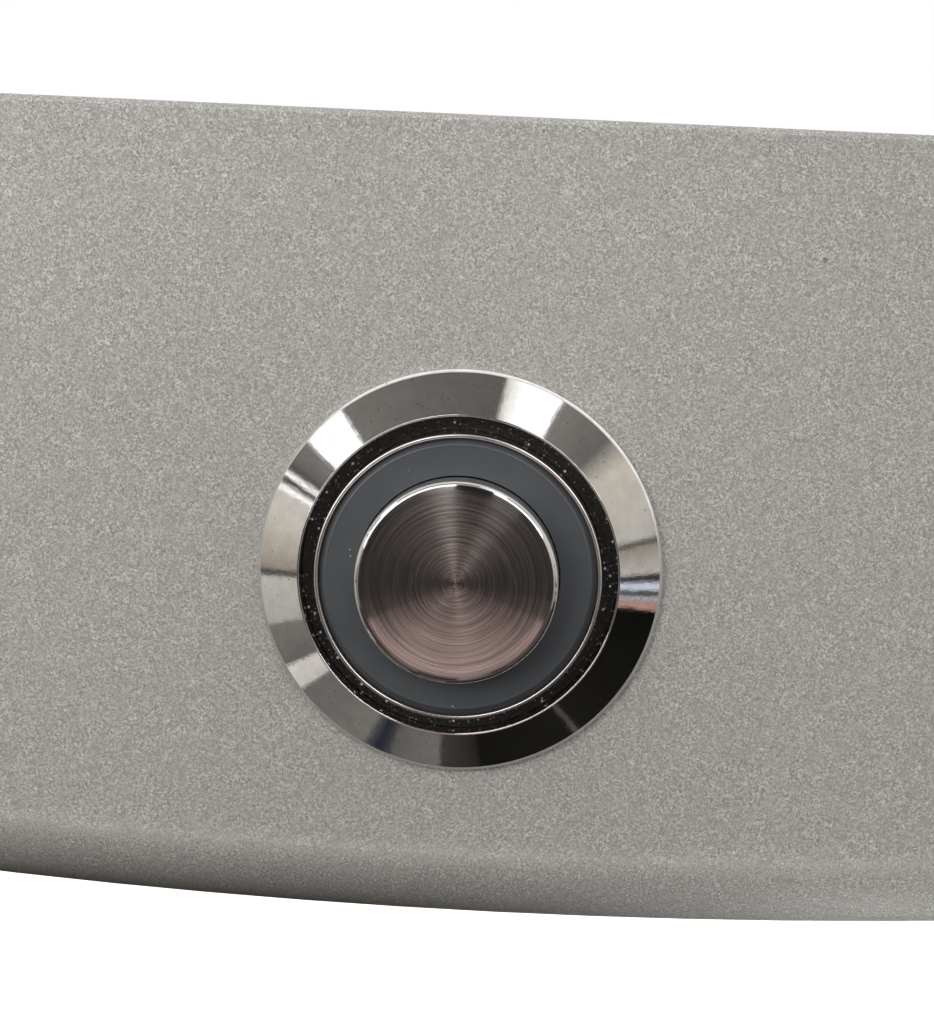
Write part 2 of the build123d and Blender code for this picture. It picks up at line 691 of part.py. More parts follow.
TILT = math.radians(BLADE_TILT)
BLADE_PLANE = Plane((0, PANEL_Y + PIVOT, 0), x_dir=(math.cos(TILT), math.sin(TILT), 0), z_dir=(0, 0, 1))
with BuildPart(BLADE_PLANE) as contact_blade:
    with Locations((0, -0.85, 0)):
        Box(2 * BLADE_HALF, 0.5, 3.0)
    Cylinder(0.95, 3.0)
    Cylinder(PIN_R + 0.06, 3.0, mode=Mode.SUBTRACT)
save(contact_blade.part, "contact_blade")

with BuildPart(BLADE_PLANE) as moving_rivets:
    with Locations((CONTACT_X, -0.4, 0), (-CONTACT_X, -0.4, 0)):
        Cylinder(0.6, 0.4, rotation=(90, 0, 0))
save(moving_rivets.part, "moving_rivets")

LED_TAB_START = 23.0
with BuildPart() as led_terminals:
    for side in (-1, 1):
        tab_x = side * LED_TAB[0]
        slab((tab_x - TAB_WIDE / 2, tab_x + TAB_WIDE / 2), depth_span(LED_TAB_START, TAB_END),
             (LED_TAB[1] - TAB_THICK / 2, LED_TAB[1] + TAB_THICK / 2))
        solder_eye(tab_x, LED_TAB[1], (0, 0, 1))
save(led_terminals.part, "led_terminals")

with BuildPart() as led_links:
    for side in (-1, 1):
        rod(0.22, side * LED_TAB[0], LED_TAB[1], *depth_span(BOARD_FRONT, LED_TAB_START))
save(led_links.part, "led_links")


# ---------------------------------------------------------------- leads inside the housing

with BuildPart() as solder_sleeves:
    for x, z, wide, high in TAB_PLACES:
        rod(1.75, x, z, *depth_span(REAR_END + 0.1, SLEEVE_END))
        slab((x - wide / 2 - FIT, x + wide / 2 + FIT), depth_span(POTTING_END, TAB_END),
             (z - high / 2 - FIT, z + high / 2 + FIT), mode=Mode.SUBTRACT)
        rod(WIRE_R + FIT, x, z, *depth_span(TAB_END, SLEEVE_END), mode=Mode.SUBTRACT)
save(solder_sleeves.part, "solder_sleeves")

LEAD_TURN_X = -15.0
LEAD_END_X = -24.5
# name, terminal x and z, depth layer where the lead turns towards the block, pole of the block
LEADS = (
    ("lead_common", 0, COMMON_TAB_Z, -8.0, 0),
    ("lead_normally_open", -SIDE_TAB_X, 0, -10.4, 1),
    ("lead_normally_closed", SIDE_TAB_X, 0, -5.6, 2),
    ("lead_lamp_plus", LED_TAB[0], LED_TAB[1], -6.6, 3),
    ("lead_lamp_minus", -LED_TAB[0], LED_TAB[1], -9.8, 4),
)


def bend_radii(points):
    """The largest arc that each corner's two runs leave room for."""
    radii = []
    for before, corner, after in zip(points, points[1:], points[2:]):
        run_in = Vector(*corner) - Vector(*before)
        run_out = Vector(*after) - Vector(*corner)
        half_turn = math.radians(run_in.get_angle(run_out)) / 2
        radii.append(0.45 * min(run_in.length, run_out.length) / math.tan(half_turn))
    return radii


for name, x, z, turn_y, pole in LEADS:
    pole_z = POLE_Z[pole]
    route = [
        (x, PANEL_Y + TAB_END + 0.05, z),
        (x, turn_y, z),
        (LEAD_TURN_X, CLAMP_Y, pole_z),
        (LEAD_END_X, CLAMP_Y, pole_z),
    ]
    radii = bend_radii(route)
    with BuildPart() as lead:
        with BuildLine() as path:
            FilletPolyline(*route, radius=radii)
        with BuildSketch(Plane(path.line @ 0, z_dir=path.line % 0)):
            Circle(WIRE_R)
        sweep()
    length = sum(edge.length for edge in path.edges())
    volume_ratio = lead.part.volume / (math.pi * WIRE_R**2 * length)
    print(name, "radii", [round(radius, 1) for radius in radii], "length", round(length, 1),
          "volume ratio", round(volume_ratio, 4))
    save(lead.part, name)
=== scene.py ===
import json
import math

import bmesh
import bpy
from mathutils import Matrix, Vector


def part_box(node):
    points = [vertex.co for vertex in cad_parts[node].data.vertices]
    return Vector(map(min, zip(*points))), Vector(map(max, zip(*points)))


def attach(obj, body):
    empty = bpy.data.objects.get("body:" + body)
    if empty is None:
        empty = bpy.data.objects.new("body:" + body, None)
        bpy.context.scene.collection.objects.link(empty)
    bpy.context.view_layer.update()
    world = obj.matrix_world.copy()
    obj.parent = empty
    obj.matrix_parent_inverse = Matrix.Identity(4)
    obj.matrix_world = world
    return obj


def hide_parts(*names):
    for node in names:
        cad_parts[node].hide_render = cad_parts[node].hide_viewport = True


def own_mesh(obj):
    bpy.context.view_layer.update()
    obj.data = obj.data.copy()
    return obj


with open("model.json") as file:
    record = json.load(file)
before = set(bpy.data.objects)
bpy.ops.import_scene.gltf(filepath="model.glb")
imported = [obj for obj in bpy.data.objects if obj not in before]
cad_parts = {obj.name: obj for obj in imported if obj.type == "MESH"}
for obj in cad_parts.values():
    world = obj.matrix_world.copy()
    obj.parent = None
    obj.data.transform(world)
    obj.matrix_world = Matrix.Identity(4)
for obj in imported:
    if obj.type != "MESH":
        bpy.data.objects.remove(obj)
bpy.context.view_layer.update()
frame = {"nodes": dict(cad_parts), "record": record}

MM = 0.001
NODES = frame["nodes"]
SLOT_OF = {entry["node"]: entry["material_slot"] for entry in frame["record"]["subparts"]}

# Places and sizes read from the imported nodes, in metres
HOUSING_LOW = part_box("front_housing")[0]
PANEL_Y = HOUSING_LOW.y
BOTTOM_Z = HOUSING_LOW.z
BEZEL_LOW, BEZEL_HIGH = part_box("bezel_body")
SLEEVE_LOW, SLEEVE_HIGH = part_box("inner_sleeve")
RING_LOW, RING_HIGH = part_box("light_ring")
SEAL_LOW, SEAL_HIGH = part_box("groove_seal")
CAP_LOW, CAP_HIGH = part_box("button_cap")

# Sizes that a node's box can't give, as the CAD has them
BOTTOM_BOW_R = 470 * MM
ROLL_R = 4.6 * MM
LIP_R = 9.75 * MM
LIP_LAND = 0.12 * MM
FLANGE_EDGE = 0.35 * MM
CONE_FOOT_INSET = 0.20 * MM
CONE_FOOT_RISE = 0.55 * MM
RECESS_INNER_R = 11.3 * MM
RECESS_OUTER_R = 12.1 * MM
THREAD_R = 11.0 * MM
THREAD_ROOT_R = 10.4 * MM
THREAD_TURNS = 16
THREAD_END_R = 10.1 * MM
BODY_BORE_R = 8.80 * MM
SEAL_SHELF = 0.9 * MM
SLEEVE_BORE_R = 8.52 * MM
RING_BORE_R = 6.30 * MM
RING_FACE_R = 8.15 * MM
RING_STEP = 0.5 * MM
RING_STEP_DEPTH = 3.0 * MM
BOARD_FRONT = 5.0 * MM
CAP_FACE = 1.5 * MM
CAP_EDGE_R = 0.45 * MM
CAP_GROOVE_R = 5.43 * MM
CAP_GROOVE_FRONT = -0.75 * MM
CAP_GROOVE_BACK = 0.15 * MM
SKIRT_BORE_R = 4.85 * MM
SPIGOT_R = 1.40 * MM
SPIGOT_POCKET = 0.9 * MM

# The thin lip at the front of the lens's bore, which the CAD doesn't have
RING_LIP_R = 6.225 * MM

ROUND_STEPS = 256
AROUND_Y = Vector((0, 1, 0))


# ---------------------------------------------------------------- node helpers

def node(tree, kind, settings=None, **inputs):
    """Add a shader node; a socket given as an input is linked, and anything else is set. i0 is the first input."""
    item = tree.nodes.new(kind)
    for key, value in (settings or {}).items():
        setattr(item, key, value)
    for key, value in inputs.items():
        name = key.replace("_", " ")
        socket = item.inputs[int(name[1:])] if name[0] == "i" and name[1:].isdigit() else item.inputs[name]
        if isinstance(value, bpy.types.NodeSocket):
            tree.links.new(value, socket)
        else:
            socket.default_value = value
    return item


def ramp(tree, factor, stops):
    """A colour ramp through (position, colour) stops."""
    item = node(tree, "ShaderNodeValToRGB", Fac=factor)
    elements = item.color_ramp.elements
    while len(elements) < len(stops):
        elements.new(0.5)
    for element, (position, colour) in zip(elements, stops):
        element.position = position
        element.color = (*colour, 1)
    return item.outputs["Color"]


def maths(tree, operation, first, second=0.0, third=0.5):
    return node(tree, "ShaderNodeMath", {"operation": operation}, i0=first, i1=second, i2=third).outputs[0]


def place(tree):
    """The point on the object, in metres, at rest."""
    return node(tree, "ShaderNodeTexCoord").outputs["Object"]


def noise(tree, vector, per_metre, detail=2.0, roughness=0.5, distortion=0.0):
    """Soft noise from 0 to 1 with about `per_metre` cells in a metre."""
    return node(tree, "ShaderNodeTexNoise", Vector=vector, Scale=per_metre, Detail=detail,
                Roughness=roughness, Distortion=distortion).outputs["Fac"]


def around_axis(tree):
    """Radius from the button's axis in millimetres, the unit direction out from it, and the depth in metres."""
    split = node(tree, "ShaderNodeSeparateXYZ", Vector=place(tree))
    flat = node(tree, "ShaderNodeCombineXYZ", X=split.outputs["X"], Z=split.outputs["Z"]).outputs[0]
    length = node(tree, "ShaderNodeVectorMath", {"operation": "LENGTH"}, i0=flat).outputs["Value"]
    outward = node(tree, "ShaderNodeVectorMath", {"operation": "NORMALIZE"}, i0=flat).outputs["Vector"]
    return maths(tree, "MULTIPLY", length, 1 / MM), outward, split.outputs["Y"]


def around_noise(tree, per_mm, stretch, detail=4.0, roughness=0.7):
    """Noise that changes quickly across the radius and slowly along the arc, with no seam."""
    radius, outward, depth = around_axis(tree)
    turned = node(tree, "ShaderNodeVectorMath", {"operation": "SCALE"}, i0=outward, Scale=stretch).outputs["Vector"]
    across = maths(tree, "MULTIPLY", maths(tree, "ADD", radius, maths(tree, "MULTIPLY", depth, 1 / MM)), per_mm)
    shift = node(tree, "ShaderNodeCombineXYZ", Y=across).outputs[0]
    vector = node(tree, "ShaderNodeVectorMath", {"operation": "ADD"}, i0=turned, i1=shift).outputs["Vector"]
    return noise(tree, vector, 1.0, detail=detail, roughness=roughness)


def bump(tree, height, distance, strength, normal=None):
    """A bump of `distance` metres, on top of `normal` where one is given."""
    item = node(tree, "ShaderNodeBump", Height=height, Distance=distance, Strength=strength)
    if normal is not None:
        tree.links.new(normal, item.inputs["Normal"])
    return item.outputs["Normal"]


def material(name):
    """A new node material; returns it with its tree and its Principled shader."""
    made = bpy.data.materials.new(name)
    made.use_nodes = True
    tree = made.node_tree
    return made, tree, tree.nodes["Principled BSDF"]


def join(tree, shader, **inputs):
    """Link sockets to, or set values on, a shader's inputs."""
    for key, value in inputs.items():
        socket = shader.inputs[key.replace("_", " ")]
        if isinstance(value, bpy.types.NodeSocket):
            tree.links.new(value, socket)
        else:
            socket.default_value = value


# ---------------------------------------------------------------- materials

def specks(tree, vector, per_metre, size, share):
    """Scattered round specks: 1 inside a speck, 0 elsewhere; `size` is a share of the cell, `share` how many show."""
    cells = node(tree, "ShaderNodeTexVoronoi", Vector=vector, Scale=per_metre)
    near = ramp(tree, cells.outputs["Distance"], [(size * 0.6, (1, 1, 1)), (size, (0, 0, 0))])
    picked = node(tree, "ShaderNodeSeparateColor", Color=cells.outputs["Color"]).outputs[0]
    return maths(tree, "MULTIPLY", near, maths(tree, "LESS_THAN", picked, share))


def mixed(tree, factor, first, second):
    """Mix two colours, each given as a socket or as three numbers."""
    item = node(tree, "ShaderNodeMix", {"data_type": "RGBA"}, Factor=factor)
    for key, value in (("A", first), ("B", second)):
        if isinstance(value, bpy.types.NodeSocket):
            tree.links.new(value, item.inputs[key])
        else:
            item.inputs[key].default_value = (*value, 1)
    return item.outputs["Result"]


NICK_AT = Vector((21.25 * MM, PANEL_Y, 20.1 * MM))
NICK_R = 0.22 * MM
COAT_MIDDLE = (0.368, 0.357, 0.334)
FLECK_SHARE = 0.62
DOT_SHARE = 0.38
# How much the painted highlight above the rolled edge lightens the coat
EDGE_HIGHLIGHT_STRENGTH = 0.30
NICK_STRENGTH = 0.8
NICK_DEPTH = 3.0
SCUFF_DEPTH = 0.25
CAP_FACE_LAYER = 0.1 * MM


def silver_coat():
    """Satin silver coating: curly flecks and dots, a painted highlight line above the rolled edge, fine scuffs and
    one nick.
    """
    made, tree, shader = material("silver_coat")
    where = place(tree)
    flecks = noise(tree, where, 4200.0, detail=0.3, distortion=0.9)
    patches = ramp(tree, noise(tree, where, 1300.0, detail=1.0), [(0.36, (0.55, 0.55, 0.55)), (0.62, (1, 1, 1))])
    curl = ramp(tree, flecks, [(0.28, (0.62, 0.62, 0.62)), (0.39, (0.20, 0.20, 0.20)), (0.475, (0.80, 0.80, 0.80)),
                               (0.54, (0.72, 0.72, 0.72)), (0.63, (0.26, 0.26, 0.26)), (0.75, (0.66, 0.66, 0.66))])
    dots = ramp(tree, noise(tree, where, 8200.0, detail=0.5), [(0.30, (0, 0, 0)), (0.70, (1, 1, 1))])
    curl = maths(tree, "ADD", maths(tree, "MULTIPLY", curl, FLECK_SHARE), maths(tree, "MULTIPLY", dots, DOT_SHARE))
    cloud = noise(tree, where, 45.0, detail=3.0)
    strokes = ramp(tree, curl, [(0.12, (0.205, 0.199, 0.185)), (0.5, (0.372, 0.361, 0.338)),
                                (0.88, (0.65, 0.64, 0.615))])
    grain = mixed(tree, patches, COAT_MIDDLE, strokes)
    tone = ramp(tree, cloud, [(0.30, (0.95, 0.95, 0.955)), (0.70, (1.0, 1.0, 1.0))])
    colour = node(tree, "ShaderNodeMix", {"data_type": "RGBA", "blend_type": "MULTIPLY"}, Factor=1.0)
    tree.links.new(grain, colour.inputs["A"])
    tree.links.new(tone, colour.inputs["B"])
    split = node(tree, "ShaderNodeSeparateXYZ", Vector=where)
    # Painted highlight: a lighter band where the flat face turns into the rolled edge, set by the distance from the
    # bottom's bowed arc
    below = node(tree, "ShaderNodeCombineXYZ", X=split.outputs["X"], Z=maths(
        tree, "SUBTRACT", split.outputs["Z"], BOTTOM_Z + BOTTOM_BOW_R)).outputs[0]
    reach = node(tree, "ShaderNodeVectorMath", {"operation": "LENGTH"}, i0=below).outputs["Value"]
    from_roll = maths(tree, "MULTIPLY", maths(tree, "SUBTRACT", BOTTOM_BOW_R - ROLL_R, reach), 1 / MM)
    edge_highlight = ramp(tree, maths(tree, "MULTIPLY_ADD", from_roll, 0.25),
                  [(0.30, (0, 0, 0)), (0.46, (1, 1, 1)), (0.54, (1, 1, 1)), (0.72, (0, 0, 0))])
    patchy_highlight = maths(tree, "MULTIPLY", edge_highlight, noise(tree, where, 900.0, detail=2.0))
    # The coat colour with the painted highlight mixed in, then the dark nick
    coat_highlight_and_nick = mixed(tree, maths(tree, "MULTIPLY", patchy_highlight, EDGE_HIGHLIGHT_STRENGTH), colour.outputs["Result"], (0.66, 0.65, 0.63))
    away = node(tree, "ShaderNodeVectorMath", {"operation": "DISTANCE"}, i0=where, i1=NICK_AT).outputs["Value"]
    nick = ramp(tree, maths(tree, "MULTIPLY", away, 1 / NICK_R), [(0.35, (1, 1, 1)), (1.0, (0, 0, 0))])
    coat_highlight_and_nick = mixed(tree, maths(tree, "MULTIPLY", nick, NICK_STRENGTH), coat_highlight_and_nick, (0.10, 0.10, 0.10))
    long_marks = node(tree, "ShaderNodeMapping", Vector=where, Scale=(0.03, 1.0, 1.0)).outputs[0]
    scuff = noise(tree, long_marks, 2200.0, detail=1.0)
    scuff_line = ramp(tree, scuff, [(0.70, (0, 0, 0)), (0.78, (1, 1, 1))])
    height = maths(tree, "SUBTRACT", curl, maths(tree, "MULTIPLY", scuff_line, SCUFF_DEPTH))
    height = maths(tree, "SUBTRACT", height, maths(tree, "MULTIPLY", nick, NICK_DEPTH))
    rough = ramp(tree, curl, [(0.2, (0.62, 0.62, 0.62)), (0.9, (0.48, 0.48, 0.48))])
    join(tree, shader, Base_Color=coat_highlight_and_nick, Metallic=0.35, Roughness=rough, Normal=bump(tree, height, 0.000018, 0.7))
    return made


def polished_chrome():
    """Bright plating: faint turning marks, fine strokes across the cone, hazy patches and dust pits."""
    made, tree, shader = material("polished_chrome")
    where = place(tree)
    marks = around_noise(tree, 9.0, 2.0)
    wave = noise(tree, where, 330.0, detail=3.0, roughness=0.6)
    haze = noise(tree, where, 700.0, detail=4.0, roughness=0.7)
    strokes = around_noise(tree, 0.55, 46.0, detail=5.0, roughness=0.75)
    pits = specks(tree, where, 2600.0, 0.20, 0.16)
    tone = mixed(tree, maths(tree, "MULTIPLY", pits, 0.55),
                 ramp(tree, haze, [(0.32, (0.80, 0.785, 0.765)), (0.62, (0.93, 0.92, 0.90))]), (0.25, 0.24, 0.23))
    rough = ramp(tree, haze, [(0.35, (0.055, 0.055, 0.055)), (0.65, (0.022, 0.022, 0.022))])
    normal = bump(tree, wave, 0.000022, 0.4)
    normal = bump(tree, strokes, 0.0000022, 0.8, normal)
    normal = bump(tree, marks, 0.0000008, 0.7, normal)
    join(tree, shader, Base_Color=tone, Metallic=1.0, Roughness=rough, Normal=normal)
    return made


def drawn_steel():
    """Thin bright tube, slightly marked along its rim."""
    made, tree, shader = material("drawn_steel")
    marks = around_noise(tree, 14.0, 5.0)
    tone = ramp(tree, marks, [(0.3, (0.62, 0.58, 0.55)), (0.7, (0.90, 0.87, 0.84))])
    join(tree, shader, Base_Color=tone, Metallic=1.0, Roughness=0.20, Normal=bump(tree, marks, 0.000004, 0.6))
    return made


def turned_steel():
    """Stainless turned on a lathe: fine tool rings across the face, a brighter polish on edge and side."""
    made, tree, shader = material("turned_steel")
    depth = around_axis(tree)[2]
    behind_face = maths(tree, "SUBTRACT", depth, CAP_LOW.y)
    on_face = ramp(tree, maths(tree, "MULTIPLY", behind_face, 1 / CAP_FACE_LAYER),
                   [(0.15, (1, 1, 1)), (0.9, (0, 0, 0))])
    fine = around_noise(tree, 11.0, 0.7, detail=3.0, roughness=0.65)
    broad = around_noise(tree, 2.4, 0.25, detail=1.0)
    tone = ramp(tree, fine, [(0.34, (0.36, 0.34, 0.34)), (0.50, (0.58, 0.55, 0.545)), (0.68, (0.80, 0.77, 0.75))])
    scored = ramp(tree, broad, [(0.585, (0, 0, 0)), (0.60, (1, 1, 1)), (0.61, (1, 1, 1)), (0.625, (0, 0, 0))])
    tone = mixed(tree, maths(tree, "MULTIPLY", scored, 0.55), tone, (0.92, 0.89, 0.87))
    colour = mixed(tree, on_face, (0.84, 0.82, 0.80), tone)
    circular = node(tree, "ShaderNodeTangent", {"direction_type": "RADIAL", "axis": "Y"}).outputs["Tangent"]
    ridges = around_noise(tree, 10.0, 0.09, detail=3.0, roughness=0.65)
    cuts = ramp(tree, ridges, [(0.38, (0, 0, 0)), (0.52, (1, 1, 1))])
    normal = bump(tree, maths(tree, "MULTIPLY", cuts, on_face), 0.00000025, 0.8)
    rough = ramp(tree, on_face, [(0.0, (0.10, 0.10, 0.10)), (1.0, (0.085, 0.085, 0.085))])
    join(tree, shader, Base_Color=colour, Metallic=1.0, Roughness=rough, Anisotropic=1.0, Anisotropic_Rotation=0.25,
         Tangent=circular, Normal=normal)
    return made


def smoked_lens():
    """Dark slate translucent plastic with a satin face and a little dust."""
    made, tree, shader = material("smoked_lens")
    where = place(tree)
    haze = noise(tree, where, 420.0, detail=2.0)
    fine = noise(tree, where, 5200.0, detail=1.0)
    base = ramp(tree, haze, [(0.3, (0.053, 0.058, 0.065)), (0.7, (0.066, 0.071, 0.078))])
    dust = specks(tree, where, 1500.0, 0.10, 0.14)
    colour = mixed(tree, maths(tree, "MULTIPLY", dust, 0.8), base, (0.40, 0.40, 0.39))
    rough = ramp(tree, haze, [(0.3, (0.40, 0.40, 0.40)), (0.7, (0.33, 0.33, 0.33))])
    join(tree, shader, Base_Color=colour, Roughness=rough, Normal=bump(tree, fine, 0.000004, 0.5))
    return made


def dusty_rubber():
    """Black rubber whose grit has caught pale dust."""
    made, tree, shader = material("dusty_rubber")
    where = place(tree)
    grit = noise(tree, where, 7000.0, detail=2.0, roughness=0.7)
    base = ramp(tree, grit, [(0.42, (0.004, 0.0038, 0.0036)), (0.66, (0.030, 0.028, 0.026))])
    small = specks(tree, where, 5200.0, 0.34, 0.26)
    large = specks(tree, where, 2600.0, 0.26, 0.22)
    colour = mixed(tree, maths(tree, "MULTIPLY", small, 0.7), base, (0.34, 0.31, 0.28))
    colour = mixed(tree, maths(tree, "MULTIPLY", large, 0.9), colour, (0.78, 0.76, 0.73))
    join(tree, shader, Base_Color=colour, Roughness=0.72, Normal=bump(tree, grit, 0.00004, 0.7))
    return made


def plain_metal(name, colour, roughness=0.3, grain=1800.0):
    """Machined or plated metal with a fine directional grain and slight tarnish."""
    made, tree, shader = material(name)
    where = place(tree)
    stretched = node(tree, "ShaderNodeMapping", Vector=where, Scale=(1.0, 0.4, 1.0)).outputs[0]
    lines = noise(tree, stretched, grain, detail=3.0, roughness=0.6)
    tarnish = noise(tree, where, 180.0, detail=3.0)
    dark = tuple(channel * 0.84 for channel in colour)
    tone = ramp(tree, tarnish, [(0.3, dark), (0.65, colour)])
    rough = ramp(tree, lines, [(0.3, (roughness * 0.8,) * 3), (0.7, (roughness * 1.25,) * 3)])
    join(tree, shader, Base_Color=tone, Metallic=1.0, Roughness=rough, Normal=bump(tree, lines, 0.000002, 0.4))
    return made


def moulded(name, colour, roughness=0.45, grain=2600.0, depth=0.00001):
    """Moulded plastic, rubber or resin with a fine spark-eroded grain and slight shade changes."""
    made, tree, shader = material(name)
    where = place(tree)
    fine = noise(tree, where, grain, detail=2.0, roughness=0.6)
    broad = noise(tree, where, 140.0, detail=2.0)
    shade = tuple(channel * 0.80 for channel in colour)
    tone = ramp(tree, broad, [(0.3, shade), (0.7, colour)])
    rough = ramp(tree, fine, [(0.3, (roughness * 0.85,) * 3), (0.7, (min(1, roughness * 1.15),) * 3)])
    join(tree, shader, Base_Color=tone, Roughness=rough, Normal=bump(tree, fine, depth, 0.6))
    return made


RECORD_COLOUR = {entry["slot"]: tuple(entry["base_color"][:3]) for entry in frame["record"]["materials"]}


def slot_material(slot):
    """The procedural material for one of the record's slots."""
    special = {
        "cast_housing": silver_coat,
        "bezel_chrome": polished_chrome,
        "sleeve_steel": drawn_steel,
        "turned_steel": turned_steel,
        "smoked_lens": smoked_lens,
    }
    if slot in special:
        return special[slot]()
    colour = RECORD_COLOUR[slot]
    metals = {"screw_steel": 0.38, "nut_nickel": 0.28, "spring_steel": 0.25, "clamp_brass": 0.30,
              "clamp_screw_zinc": 0.30, "contact_copper": 0.26, "contact_silver": 0.18, "tinned_wire": 0.30}
    if slot in metals:
        return plain_metal(slot, colour, metals[slot])
    if slot == "gasket_rubber":
        return moulded(slot, colour, 0.80, 3000.0, 0.00003)
    if slot == "potting_resin":
        return moulded(slot, colour, 0.15, 300.0, 0.00004)
    return moulded(slot, colour)


MATERIALS = {slot: slot_material(slot) for slot in sorted(set(SLOT_OF.values()))}
GROOVE_RUBBER = dusty_rubber()


# ---------------------------------------------------------------- mesh helpers

stood_for = set()


def finish_piece(mesh, name, slot_name, body, stands_for, sharp_degrees=32.0, paint=None):
    """Turn a bmesh into a smooth-shaded piece that rides a body and stands for a CAD node; returns it."""
    bmesh.ops.recalc_face_normals(mesh, faces=mesh.faces)
    data = bpy.data.meshes.new(name)
    mesh.to_mesh(data)
    mesh.free()
    data.polygons.foreach_set("use_smooth", [True] * len(data.polygons))
    data.set_sharp_from_angle(angle=math.radians(sharp_degrees))
    data.materials.append(paint or MATERIALS[slot_name])
    piece = bpy.data.objects.new(name, data)
    bpy.context.scene.collection.objects.link(piece)
    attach(piece, body)
    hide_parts(stands_for)
    stood_for.add(stands_for)
    return piece


def rounded(corners, steps=6):
    """Round the corners of a closed outline: each corner is (radius, depth, rounding)."""
    outline = []
    count = len(corners)
    for index, (x, y, rounding) in enumerate(corners):
        here = Vector((x, y))
        before = Vector(corners[index - 1][:2]) - here
        after = Vector(corners[(index + 1) % count][:2]) - here
        if rounding <= 0:
            outline.append((x, y))
            continue
        half = before.angle(after) / 2
        reach = min(rounding / math.tan(half), 0.48 * before.length, 0.48 * after.length)
        radius = reach * math.tan(half)
        centre = here + (before.normalized() + after.normalized()).normalized() * (radius / math.sin(half))
        start = here + before.normalized() * reach - centre
        sweep = start.angle_signed(here + after.normalized() * reach - centre)
        for step in range(steps + 1):
            turned = Matrix.Rotation(-sweep * step / steps, 2) @ start
            outline.append(tuple(centre + turned))
    return outline


def lathe(outline, steps=ROUND_STEPS):
    """Revolve a closed outline of (radius, depth behind the panel) about the button's axis."""
    mesh = bmesh.new()
    rings = []
    for radius, depth in outline:
        if radius < 1e-7:
            rings.append([mesh.verts.new((0, PANEL_Y + depth, 0))] * steps)
            continue
        ring = []
        for step in range(steps):
            angle = 2 * math.pi * step / steps
            ring.append(mesh.verts.new((radius * math.cos(angle), PANEL_Y + depth, radius * math.sin(angle))))
        rings.append(ring)
    for index, ring in enumerate(rings):
        following = rings[(index + 1) % len(rings)]
        for step in range(steps):
            after = (step + 1) % steps
            corners = []
            for vertex in (ring[step], ring[after], following[after], following[step]):
                if vertex not in corners:
                    corners.append(vertex)
            if len(corners) > 2:
                mesh.faces.new(corners)
    return mesh


def coil(centre_x, coil_r, wire_r, start, end, turns, per_turn=40, around=12):
    """A round-wire spring along Y between two depths, with its last half turns closed up."""
    mesh = bmesh.new()
    steps = int(turns * per_turn)
    rings = []
    lead = 0.5 / turns
    for step in range(steps + 1):
        share = step / steps
        eased = min(1.0, max(0.0, (share - lead) / (1 - 2 * lead)))
        angle = 2 * math.pi * turns * share
        depth = start + wire_r + (end - start - 2 * wire_r) * eased
        middle = Vector((centre_x + coil_r * math.cos(angle), PANEL_Y + depth, coil_r * math.sin(angle)))
        outward = Vector((math.cos(angle), 0, math.sin(angle)))
        ring = []
        for corner in range(around):
            turn = 2 * math.pi * corner / around
            ring.append(mesh.verts.new(middle + wire_r * (outward * math.cos(turn) + AROUND_Y * math.sin(turn))))
        rings.append(ring)
    for first, second in zip(rings, rings[1:]):
        for corner in range(around):
            after = (corner + 1) % around
            mesh.faces.new((first[corner], first[after], second[after], second[corner]))
    mesh.faces.new(rings[0])
    mesh.faces.new(list(reversed(rings[-1])))
    return mesh


# ---------------------------------------------------------------- lathe-turned pieces

def bezel():
    """The switch's chromed bushing: flange with a polished cone, undercut for the seal, and thread."""
    lip_y = BEZEL_LOW.y - PANEL_Y
    flange_r = BEZEL_HIGH.x
    back = BEZEL_HIGH.y - PANEL_Y
    corners = [
        (LIP_R, lip_y, 0.10 * MM),
        (LIP_R + LIP_LAND, lip_y, 0.04 * MM),
        (flange_r - CONE_FOOT_INSET, -CONE_FOOT_RISE, 0.10 * MM),
        (flange_r, -FLANGE_EDGE, 0.12 * MM),
        (flange_r, 0, 0.03 * MM),
        (RECESS_OUTER_R, 0, 0),
        (RECESS_OUTER_R, -FLANGE_EDGE, 0),
        (RECESS_INNER_R, -FLANGE_EDGE, 0),
        (RECESS_INNER_R, 0, 0),
        (THREAD_ROOT_R, 0, 0),
    ]
    for index in range(THREAD_TURNS):
        corners.append((THREAD_ROOT_R, (1.0 + index) * MM, 0.04 * MM))
        corners.append((THREAD_R, (1.5 + index) * MM, 0.04 * MM))
    corners += [
        (THREAD_ROOT_R, (1.0 + THREAD_TURNS) * MM, 0.04 * MM),
        (THREAD_END_R, back, 0.1 * MM),
        (BODY_BORE_R, back, 0),
        (BODY_BORE_R, SEAL_SHELF, 0),
        (LIP_R, SEAL_SHELF, 0),
    ]
    return lathe(rounded(corners))


def sleeve():
    """Thin bright tube between the seal and the light ring, its front rim rolled round."""
    front = SLEEVE_LOW.y - PANEL_Y
    back = SLEEVE_HIGH.y - PANEL_Y
    outer = SLEEVE_HIGH.x
    return lathe(rounded([(SLEEVE_BORE_R, front, 0.10 * MM), (outer, front, 0.10 * MM), (outer, back, 0),
                          (SLEEVE_BORE_R, back, 0)]))


def lens():
    """The ring-shaped lens: satin face, a softly rounded shoulder and a bevel down to the sleeve."""
    front = RING_LOW.y - PANEL_Y
    outer = RING_HIGH.x
    return lathe(rounded([
        (RING_BORE_R, front + 0.30 * MM, 0),
        (RING_LIP_R, front + 0.25 * MM, 0),
        (RING_LIP_R, front, 0.05 * MM),
        (RING_FACE_R - 0.16 * MM, front + 0.012 * MM, 0.03 * MM),
        (RING_FACE_R - 0.08 * MM, front, 0.06 * MM),
        (RING_FACE_R, front + 0.02 * MM, 0.06 * MM),
        (outer, front + 0.35 * MM, 0.05 * MM),
        (outer, BOARD_FRONT, 0),
        (outer - RING_STEP, BOARD_FRONT, 0),
        (outer - RING_STEP, RING_STEP_DEPTH, 0),
        (RING_BORE_R, RING_STEP_DEPTH, 0),
    ]))


